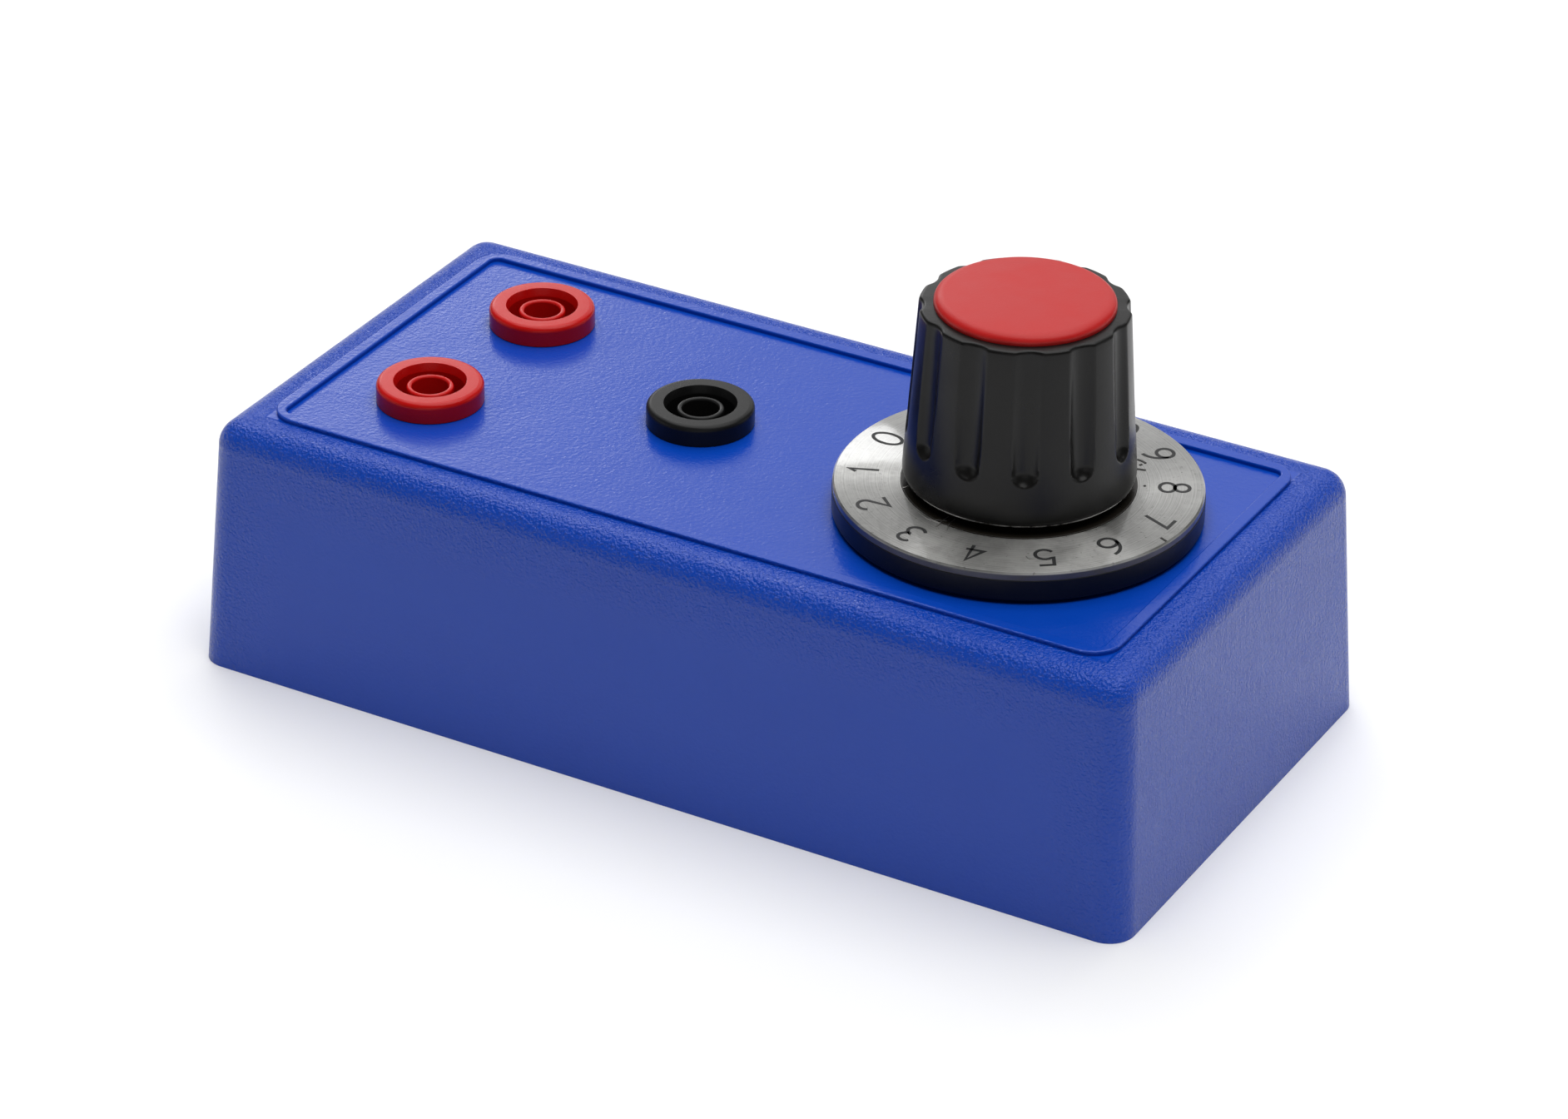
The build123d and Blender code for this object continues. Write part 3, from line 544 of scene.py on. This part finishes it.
panel_top = low("socket_body_black").z + BARREL_LENGTH
flange_top = high("socket_body_black").z
for colour, material, slot in (
    ("red_back", red_socket, "socket_red"),
    ("red_front", red_socket, "socket_red"),
    ("black", black_socket, "socket_black"),
):
    node = f"socket_body_{colour}"
    foot = low(node).z
    profile = rounded([
        (CONTACT_SEAT, foot, 0),
        (CONTACT_SEAT, flange_top - CONTACT_DROP, 0),
        (POST_HOLE, flange_top - CONTACT_DROP, 0),
        (POST_HOLE, flange_top - POST_DROP, TIP_ROUNDING),
        (TIP_RADIUS, flange_top - POST_DROP, TIP_ROUNDING),
        (TIP_RADIUS, flange_top - TIP_DROP, 0),
        (POST_RADIUS, flange_top - WAIST_DROP, 0),
        (POST_RADIUS, flange_top - GROOVE_DROP, 0),
        (GROOVE_RADIUS, flange_top - GROOVE_DROP, 0),
        (GROOVE_RADIUS, flange_top - MOUTH_DROP, GROOVE_ROUNDING),
        (MOUTH_RADIUS, flange_top, MOUTH_ROUNDING),
        (FLANGE_RADIUS, flange_top, FLANGE_ROUNDING),
        (FLANGE_RADIUS, panel_top, FLANGE_FOOT_ROUNDING),
        (BARREL_RADIUS, panel_top, 0),
        (BARREL_RADIUS, foot, 0),
    ], steps=8)
    lathe(f"{node}_shell", middle(node), profile, material, "case", replaced=(node,))

# ---------------------------------------------------------------- dial

DIAL_TOP = high("dial_ring").z
SKIRT_TOP = low("dial_ring").z
SKIRT_FOOT = low("dial_skirt").z
DIAL_RADIUS = high("dial_ring").x - KNOB_CENTRE.x
SKIRT_RADIUS = high("dial_skirt").x - KNOB_CENTRE.x
DIAL_HOLE = 11.0
DIAL_BEVEL = 0.25
DIAL_ROUNDING = 0.08  # of the bevel's two edges
DIAL_FOOT_ROUNDING = 0.04
SKIRT_WALL = 1.6  # of the rim that hangs round the skirt's hollow
SKIRT_FLOOR = 1.3  # thickness of the skirt's flat part
SKIRT_TOP_ROUNDING = 0.06
SKIRT_FOOT_ROUNDING = 0.3
RING_RADIUS = 14.8  # of the black ring that the grip stands in; its black also paints the shade under the grip's overhanging foot
RING_HOLE = 12.25
RING_HEIGHT = 0.16  # by which it stands proud of the plate
RING_SUNK = 0.02
RING_ROUNDING = 0.12

lathe("dial_plate", KNOB_CENTRE, rounded([
    (DIAL_HOLE, SKIRT_TOP, 0),
    (DIAL_RADIUS, SKIRT_TOP, DIAL_FOOT_ROUNDING),
    (DIAL_RADIUS, DIAL_TOP - DIAL_BEVEL, DIAL_ROUNDING),
    (DIAL_RADIUS - DIAL_BEVEL, DIAL_TOP, DIAL_ROUNDING),
    (DIAL_HOLE, DIAL_TOP, 0),
], steps=4), dial_metal, "knob", replaced=("dial_ring",), steps=FINE_ROUND_STEPS)

lathe("dial_moulding", KNOB_CENTRE, rounded([
    (DIAL_HOLE, SKIRT_TOP, 0),
    (SKIRT_RADIUS, SKIRT_TOP, SKIRT_TOP_ROUNDING),
    (SKIRT_RADIUS, SKIRT_FOOT, SKIRT_FOOT_ROUNDING),
    (SKIRT_RADIUS - SKIRT_WALL, SKIRT_FOOT, SKIRT_FOOT_ROUNDING),
    (SKIRT_RADIUS - SKIRT_WALL, SKIRT_TOP - SKIRT_FLOOR, 0),
    (DIAL_HOLE, SKIRT_TOP - SKIRT_FLOOR, 0),
], steps=5), skirt_black, "knob", replaced=("dial_skirt",), steps=FINE_ROUND_STEPS)


def arc(cx, cy, rx, ry, start, end, steps=14):
    """Points of an elliptic arc, from start to end in degrees, counter-clockwise where end is larger."""
    turns = [math.radians(start + (end - start) * k / steps) for k in range(steps + 1)]
    return [(cx + rx * math.cos(t), cy + ry * math.sin(t)) for t in turns]


# Strokes of each figure in a cell about 1 high, centred on 0, in a plain single-line hand
FIGURES = {
    "0": [arc(0, 0, 0.34, 0.54, 0, 360, 28)],
    "1": [[(-0.13, 0.27), (0.04, 0.5), (0.04, -0.5)]],
    "2": [arc(0, 0.22, 0.30, 0.28, 170, -35) + [(-0.31, -0.5), (0.31, -0.5)]],
    "3": [arc(0, 0.245, 0.27, 0.255, 150, -75) + arc(-0.02, -0.24, 0.31, 0.26, 75, -150)],
    "4": [[(0.12, -0.5), (0.12, 0.5), (-0.30, -0.22), (0.30, -0.22)]],
    "5": [[(0.27, 0.5), (-0.22, 0.5), (-0.27, 0.04)] + arc(-0.01, -0.19, 0.31, 0.31, 130, -150)],
    "6": [arc(0.0, -0.21, 0.31, 0.29, 90, 450, 24), arc(0.33, -0.20, 0.64, 0.72, 180, 98)],
    "7": [[(-0.30, 0.5), (0.30, 0.5), (-0.10, -0.5)]],
    "8": [arc(0, 0.25, 0.26, 0.25, 0, 360, 22), arc(0, -0.24, 0.31, 0.26, 0, 360, 22)],
    "9": [arc(0.0, 0.21, 0.31, 0.29, 90, 450, 24), arc(-0.33, 0.20, 0.64, 0.72, 0, -82)],
}
LAST_FIGURE = 10
FIGURE_HEIGHT = 3.75
FIGURE_PITCH = 0.74 * FIGURE_HEIGHT  # between the two marks of the 10
FIGURE_RADIUS = 19.4
FIRST_FIGURE = 176.0  # degrees from +X at which the dial's 0 stands at rest
FIGURE_STEP = frame["joints"][0]["range_deg"][1] / LAST_FIGURE
INK_WIDTH = 0.46
INK_HEIGHT = 0.02
SCRATCH_WIDTH = 0.09
NICK_WIDTH = 0.28
MARK_HEIGHT = 0.05
LIFT_RADIUS = RING_RADIUS + 0.3  # within it, scratches and nicks lie on top of the black ring
LEAST_MITRE = 0.3  # least cosine of half a bend, as a sharper one's mitre would grow too long


def stroke(bm, points, width, height):
    """A flat ribbon along points, closed on all sides, with mitred bends."""
    points = [Vector(p) for p in points]
    closed = (points[0] - points[-1]).length < 1e-6
    if closed:
        points.pop()
    rows = []
    for i, p in enumerate(points):
        before = points[i - 1] if i or closed else None
        after = points[(i + 1) % len(points)] if i + 1 < len(points) or closed else None
        into = (p - before).normalized() if before is not None else (after - p).normalized()
        out = (after - p).normalized() if after is not None else into
        middle_way = (into + out).normalized()
        side = Vector((-middle_way.y, middle_way.x))
        mitre = max(side.dot(Vector((-into.y, into.x))), LEAST_MITRE)
        aside = side * min(width / 2 / mitre, width)
        rows.append([
            bm.verts.new((*(p + aside * k), z)) for k, z in ((1, 0), (1, height), (-1, height), (-1, 0))
        ])
    pairs = list(zip(rows, rows[1:])) + ([(rows[-1], rows[0])] if closed else [])
    for a, b in pairs:
        for k in range(4):
            bm.faces.new((a[k], a[(k + 1) % 4], b[(k + 1) % 4], b[k]))
    if not closed:
        bm.faces.new(rows[0])
        bm.faces.new(reversed(rows[-1]))


for number in range(LAST_FIGURE + 1):
    figure = str(number)
    bm = bmesh.new()
    for place, mark in enumerate(figure):
        shift = (place - (len(figure) - 1) / 2) * FIGURE_PITCH
        for line in FIGURES[mark]:
            points = [(u * FIGURE_HEIGHT + shift, v * FIGURE_HEIGHT) for u, v in line]
            stroke(bm, points, INK_WIDTH, INK_HEIGHT)
    turn = math.radians(FIRST_FIGURE + FIGURE_STEP * number)
    out = Vector((math.cos(turn), math.sin(turn), 0))
    placed = Matrix.Translation(Vector((KNOB_CENTRE.x, KNOB_CENTRE.y, DIAL_TOP)) + out * FIGURE_RADIUS)
    placed = placed @ Matrix.Rotation(turn - math.pi / 2, 4, "Z")
    bmesh.ops.transform(bm, matrix=placed, verts=bm.verts)
    finish_mesh(f"dial_figure_{number}", bm, ink, "knob")


def dial_point(radius, degrees):
    """Point of the dial's face, from a radius and an angle about the knob's axis."""
    turn = math.radians(degrees)
    return Vector((KNOB_CENTRE.x + radius * math.cos(turn), KNOB_CENTRE.y + radius * math.sin(turn)))


def marks(name, lines, width, material):
    """Scratches or nicks: flat thin ribbons along (radius, degrees) points of the dial's face."""
    bm = bmesh.new()
    for line in lines:
        stroke(bm, [dial_point(*point) for point in line], width, MARK_HEIGHT)
    bmesh.ops.translate(bm, vec=(0, 0, DIAL_TOP), verts=bm.verts)
    for vert in bm.verts:
        if math.hypot(vert.co.x - KNOB_CENTRE.x, vert.co.y - KNOB_CENTRE.y) < LIFT_RADIUS:
            vert.co.z += RING_HEIGHT
    finish_mesh(name, bm, material, "knob")


bright_scratch = metal("scratch_bright", (0.70, 0.69, 0.66), (0.85, 0.84, 0.82), 0.30, 0.45)
dark_nick = moulded("nick_dark", (0.015, 0.014, 0.013), (0.05, 0.048, 0.045), 0.4, 0.6, specular=0.25)
marks("dial_scratches", [
    [(15.95, 257.8), (14.4, 256.9), (13.2, 256.4)],
    [(15.9, 263.4), (14.5, 261.4), (13.1, 260.6)],
    [(15.4, 252.0), (14.6, 255.5), (14.1, 258.5)],
    [(15.2, 243.0), (15.3, 250.0), (15.1, 257.5)],
    [(19.0, 300.2), (19.5, 300.6), (19.72, 301.6), (19.6, 303.2)],
    [(14.75, 219.2), (14.0, 217.6)],
], SCRATCH_WIDTH, bright_scratch)
marks("dial_nicks", [
    [(22.0, 349.8), (23.0, 349.2)],
    [(16.2, 51.0), (16.6, 49.0), (16.85, 46.6)],
    [(15.3, 42.6), (16.3, 40.6)],
    [(15.9, 45.6), (16.3, 46.2)],
    [(15.6, 26.6), (15.75, 25.8)],
], NICK_WIDTH, dark_nick)

# ---------------------------------------------------------------- knob grip

GRIP_TOP = high("knob_grip").z
GRIP_HEIGHT = GRIP_TOP - DIAL_TOP
FOOT_RADIUS = high("knob_grip").x - KNOB_CENTRE.x
SEAT_RADIUS = 12.2  # of the flat ring that stands on the dial
FOOT_GAP = 1.1  # the foot's rim stays this far off the dial
FOOT_ROUND = 1.3
FOOT_WIDEST = 1.4  # height at which the taper begins
TOP_ROUND = 0.45
TAPER = 1 / 15  # radius lost per height
FLUTES = 12
FLUTE_PHASE = math.radians(-0.5)
FLUTE_END = 8.6  # height of the ball end's centre above the dial
FLUTE_SPREAD = math.radians(4.6)
FLUTE_BLEND = 0.28  # by which the edges of the flutes are softened
BALL_RADIUS = 1.9
DEPTH_AT_END = 1.05
DEPTH_AT_TOP = 0.55
PER_FLUTE = 40  # points of a ring for each flute
# Rings up the grip: over the foot's rounding, the plain foot, the ball ends, the flutes, the top's rounding
FOOT_STEPS, PLAIN_STEPS, BALL_STEPS, FLUTE_STEPS, TOP_STEPS = 10, 5, 26, 18, 6
BALL_BELOW, BALL_ABOVE = 2.6, 0.6  # how far the ball ends' rings reach from the balls' centres

CAP_HOLE = 9.7
CAP_HOLE_DEPTH = 6.0
BORE = 4.02
CONE_TOP = 9.7  # heights above the dial between which the bore opens in a cone for the collet
CONE_FOOT = 5.5
CONE_RADIUS = 5.22
HOLLOW_RADIUS = 9.5  # of the hollow below the cone
HUB_RADIUS = 10.9  # of the hub that stands in the dial's hole


def smooth_min(a, b, k):
    h = max(k - abs(a - b), 0.0) / k
    return min(a, b) - h * h * k / 4


def grip_radius(angle, height):
    """Radius of the grip at an angle from a flute's middle and a height above the dial."""
    wall = FOOT_RADIUS - TAPER * max(height - FOOT_WIDEST, 0)
    length = GRIP_HEIGHT - FLUTE_END
    end_offset = FOOT_RADIUS - TAPER * (FLUTE_END - FOOT_WIDEST) - DEPTH_AT_END + BALL_RADIUS
    top_radius = BALL_RADIUS + length * math.tan(FLUTE_SPREAD)
    top_offset = FOOT_RADIUS - TAPER * (GRIP_HEIGHT - FOOT_WIDEST) - DEPTH_AT_TOP + top_radius
    along = height - FLUTE_END
    if along >= 0:
        offset = end_offset + (top_offset - end_offset) * along / length
        reach = BALL_RADIUS / math.cos(FLUTE_SPREAD) + along * math.tan(FLUTE_SPREAD)
        down = 0.0
    else:
        offset, reach, down = end_offset, BALL_RADIUS, along
    inside = reach**2 - down**2 - (offset * math.sin(angle)) ** 2
    if inside <= 0:
        return wall
    cut = offset * math.cos(angle) - math.sqrt(inside)
    return smooth_min(wall, cut, FLUTE_BLEND)


def edge_pull(height):
    """How far the roundings of foot and top draw the grip in at a height."""
    for into, radius in (
        (FOOT_GAP + FOOT_ROUND - height, FOOT_ROUND),
        (height - GRIP_HEIGHT + TOP_ROUND, TOP_ROUND),
    ):
        if into > 0:
            return radius - math.sqrt(max(radius**2 - into**2, 0))
    return 0.0


def grip(name, material):
    """Tapered grip with its flutes, hollow inside."""
    foot_top = FOOT_GAP + FOOT_ROUND
    top_foot = GRIP_HEIGHT - TOP_ROUND
    heights = [foot_top - FOOT_ROUND * math.cos(turn) for turn in quarter(FOOT_STEPS)[:-1]]
    heights += span(foot_top, FLUTE_END - BALL_BELOW, PLAIN_STEPS)
    heights += span(FLUTE_END - BALL_BELOW, FLUTE_END + BALL_ABOVE, BALL_STEPS)
    heights += span(FLUTE_END + BALL_ABOVE, top_foot, FLUTE_STEPS)
    heights += [top_foot + TOP_ROUND * math.sin(turn) for turn in quarter(TOP_STEPS)]
    around = FLUTES * PER_FLUTE
    angles = [math.remainder(2 * math.pi * k / around, 2 * math.pi / FLUTES) for k in range(around)]
    outside = [
        (DIAL_TOP + height, [grip_radius(angle, height) - edge_pull(height) for angle in angles])
        for height in heights
    ]
    inside = [
        (z, [radius] * around)
        for radius, z in (
            (CAP_HOLE, GRIP_TOP),
            (CAP_HOLE, GRIP_TOP - CAP_HOLE_DEPTH),
            (BORE, GRIP_TOP - CAP_HOLE_DEPTH),
            (BORE, DIAL_TOP + CONE_TOP),
            (CONE_RADIUS, DIAL_TOP + CONE_FOOT),
            (HOLLOW_RADIUS, DIAL_TOP + CONE_FOOT),
            (HOLLOW_RADIUS, SKIRT_TOP - SKIRT_FLOOR),
            (HUB_RADIUS, SKIRT_TOP - SKIRT_FLOOR),
            (HUB_RADIUS, DIAL_TOP),
            (SEAT_RADIUS, DIAL_TOP),
            (SEAT_RADIUS, DIAL_TOP + FOOT_GAP),
        )
    ]
    bm = bmesh.new()
    rings = [ring_of_points(bm, KNOB_CENTRE, z, radii, FLUTE_PHASE) for z, radii in outside + inside]
    join_rings(bm, rings)
    finish_mesh(name, bm, material, "knob", replaced=("knob_grip",))


grip("knob_grip_fluted", knob_black)

# Black ring on the dial round the grip's foot: partly a real black ring, partly painted shade where the
# foot overhangs the plate
lathe("dial_inner_ring", KNOB_CENTRE, rounded([
    (RING_HOLE, DIAL_TOP - RING_SUNK, 0),
    (RING_RADIUS, DIAL_TOP - RING_SUNK, 0),
    (RING_RADIUS, DIAL_TOP + RING_HEIGHT, RING_ROUNDING),
    (RING_HOLE, DIAL_TOP + RING_HEIGHT, 0),
], steps=4), ring_black_and_painted_shade, "knob", steps=FINE_ROUND_STEPS)

# Moulding line of the grip: a thin band on the rounding of its foot, slightly proud of it
LINE_PROUD = 0.06
LINE_SUNK = 0.1
LINE_TURNS = range(39, 55, 3)  # degrees below the horizontal, about the rounding's centre


def foot_point(reach, degrees):
    """Point at a reach from the centre of the foot's rounding."""
    turn = math.radians(degrees)
    centre = Vector((FOOT_RADIUS - FOOT_ROUND, DIAL_TOP + FOOT_GAP + FOOT_ROUND))
    return centre + Vector((math.cos(turn), -math.sin(turn))) * reach


line_profile = [foot_point(FOOT_ROUND + LINE_PROUD, degrees) for degrees in LINE_TURNS]
line_profile += [
    foot_point(FOOT_ROUND - LINE_SUNK, degrees) for degrees in (LINE_TURNS[-1], LINE_TURNS[0])
]
# The line's material paints a highlight on it as two pale arcs, and adds rubbed pale patches
scuffs_and_painted_glint = scuffed_plastic("lip_scuffs_and_painted_glint", KNOB_CENTRE)
lathe("grip_line_scuffs_and_painted_glint", KNOB_CENTRE, line_profile, scuffs_and_painted_glint, "knob", steps=FINE_ROUND_STEPS)

# ---------------------------------------------------------------- red cap

CAP_RADIUS = high("knob_cap").x - KNOB_CENTRE.x
CAP_FOOT = low("knob_cap").z
CAP_TOP = high("knob_cap").z
PLUG_RADIUS = 9.6
PLUG_WALL = 1.3
DOME = 0.3  # rise of the cap's face
EDGE_WIDTH, EDGE_HEIGHT = 1.35, 0.95  # of the quarter ellipse round the cap's face
CAP_RINGS = 10  # over the edge, and again over the face
CAP_STEPS = 160

shoulder = CAP_TOP - DOME
face_radius = CAP_RADIUS - EDGE_WIDTH
cap_profile = [
    (PLUG_RADIUS - PLUG_WALL, CAP_FOOT),
    (PLUG_RADIUS, CAP_FOOT),
    (PLUG_RADIUS, GRIP_TOP),
    (CAP_RADIUS, GRIP_TOP),
]
cap_profile += [
    (face_radius + EDGE_WIDTH * math.cos(turn), shoulder - EDGE_HEIGHT * (1 - math.sin(turn)))
    for turn in quarter(CAP_RINGS)
]
cap_profile += [
    (face_radius * k / CAP_RINGS, shoulder + DOME * (1 - (k / CAP_RINGS) ** 2))
    for k in reversed(range(CAP_RINGS))
]
cap_profile += [(0, GRIP_TOP), (PLUG_RADIUS - PLUG_WALL, GRIP_TOP)]
lathe(
    "knob_cap_button", KNOB_CENTRE, cap_profile, cap_red, "knob",
    replaced=("knob_cap",), steps=CAP_STEPS,
)

# ---------------------------------------------------------------- floor, light and camera

# In metres, as the lights' sizes and places are
FLOOR_REACH = 6.0
FLOOR_GAP = 0.00002  # by which the floor lies lower, so that it doesn't share the underside's plane
LIGHT_AIM = Vector((0, 0, 0.02))
CLIP_START, CLIP_END = 0.05, 20.0

WORLD_STRENGTH = 0.10

bm = bmesh.new()
bmesh.ops.create_grid(bm, x_segments=2, y_segments=2, size=FLOOR_REACH)
mesh = bpy.data.meshes.new("floor")
bm.to_mesh(mesh)
bm.free()
floor = bpy.data.objects.new("floor", mesh)
bpy.context.scene.collection.objects.link(floor)
floor.location.z = cad_low.z - FLOOR_GAP
mesh.materials.append(floor_material())


def softbox(name, place, size, radiance):
    """White area light at a place, facing the object."""
    light = bpy.data.lights.new(name, "AREA")
    light.shape = "RECTANGLE"
    light.size, light.size_y = size
    light.energy = radiance * math.pi * size[0] * size[1]
    lamp = bpy.data.objects.new(name, light)
    bpy.context.scene.collection.objects.link(lamp)
    lamp.location = place
    aim = LIGHT_AIM - Vector(place)
    lamp.rotation_euler = aim.to_track_quat("-Z", "Y").to_euler()
    return lamp


softbox("back_box", (-0.60, 1.25, 0.95), (2.4, 1.5), 0.85)
softbox("top_box", (0.05, 0.30, 1.50), (2.0, 1.3), 2.1)
softbox("strip_box", (-1.19, 1.35, 0.74), (0.58, 0.26), 3.9)
# Broad light from above the front: it fills the roundings without a reflection of its own
softbox("front_fill", (0.20, -0.40, 1.90), (1.2, 1.0), 4.6).visible_glossy = False
# Low soft boxes that only glossy surfaces see, so that the dial keeps its sheen from the other sides
for name, place in (
    ("front_glow", (0.75, -1.30, 0.50)),
    ("left_glow", (-1.40, -0.80, 0.50)),
    ("right_glow", (1.35, 0.80, 0.42)),
):
    softbox(name, place, (1.3, 0.6), 0.45).visible_diffuse = False

world = bpy.data.worlds.new("studio")
bpy.context.scene.world = world
world.use_nodes = True
world.node_tree.nodes["Background"].inputs["Color"].default_value = (1, 1, 1, 1)
world.node_tree.nodes["Background"].inputs["Strength"].default_value = WORLD_STRENGTH

# Camera: the bearing, height, roll and distance of the photograph's viewpoint, in millimetres
AZIMUTH = math.radians(29.085)
ELEVATION = math.radians(29.641)
ROLL = math.radians(-0.840)
DISTANCE = 757.94
ASIDE, RISE = 0.999, 15.534  # the camera's offset to its own right and up
LENS = 133.42
SENSOR = 36.0

back = Vector((
    math.sin(AZIMUTH) * math.cos(ELEVATION), -math.cos(AZIMUTH) * math.cos(ELEVATION), math.sin(ELEVATION),
))
right = Vector((math.cos(AZIMUTH), math.sin(AZIMUTH), 0))
up = back.cross(right)
cam_x = math.cos(ROLL) * right - math.sin(ROLL) * up
cam_y = math.sin(ROLL) * right + math.cos(ROLL) * up
data = bpy.data.cameras.new("camera")
data.lens = LENS
data.sensor_width = SENSOR
data.clip_start, data.clip_end = CLIP_START, CLIP_END
camera = bpy.data.objects.new("camera", data)
bpy.context.scene.collection.objects.link(camera)
turned = Matrix((cam_x, cam_y, back)).transposed().to_4x4()
place = (back * DISTANCE + cam_x * ASIDE + cam_y * RISE) * MM
camera.matrix_world = Matrix.Translation(place) @ turned
bpy.context.scene.camera = camera
bpy.context.scene.view_settings.view_transform = "Standard"
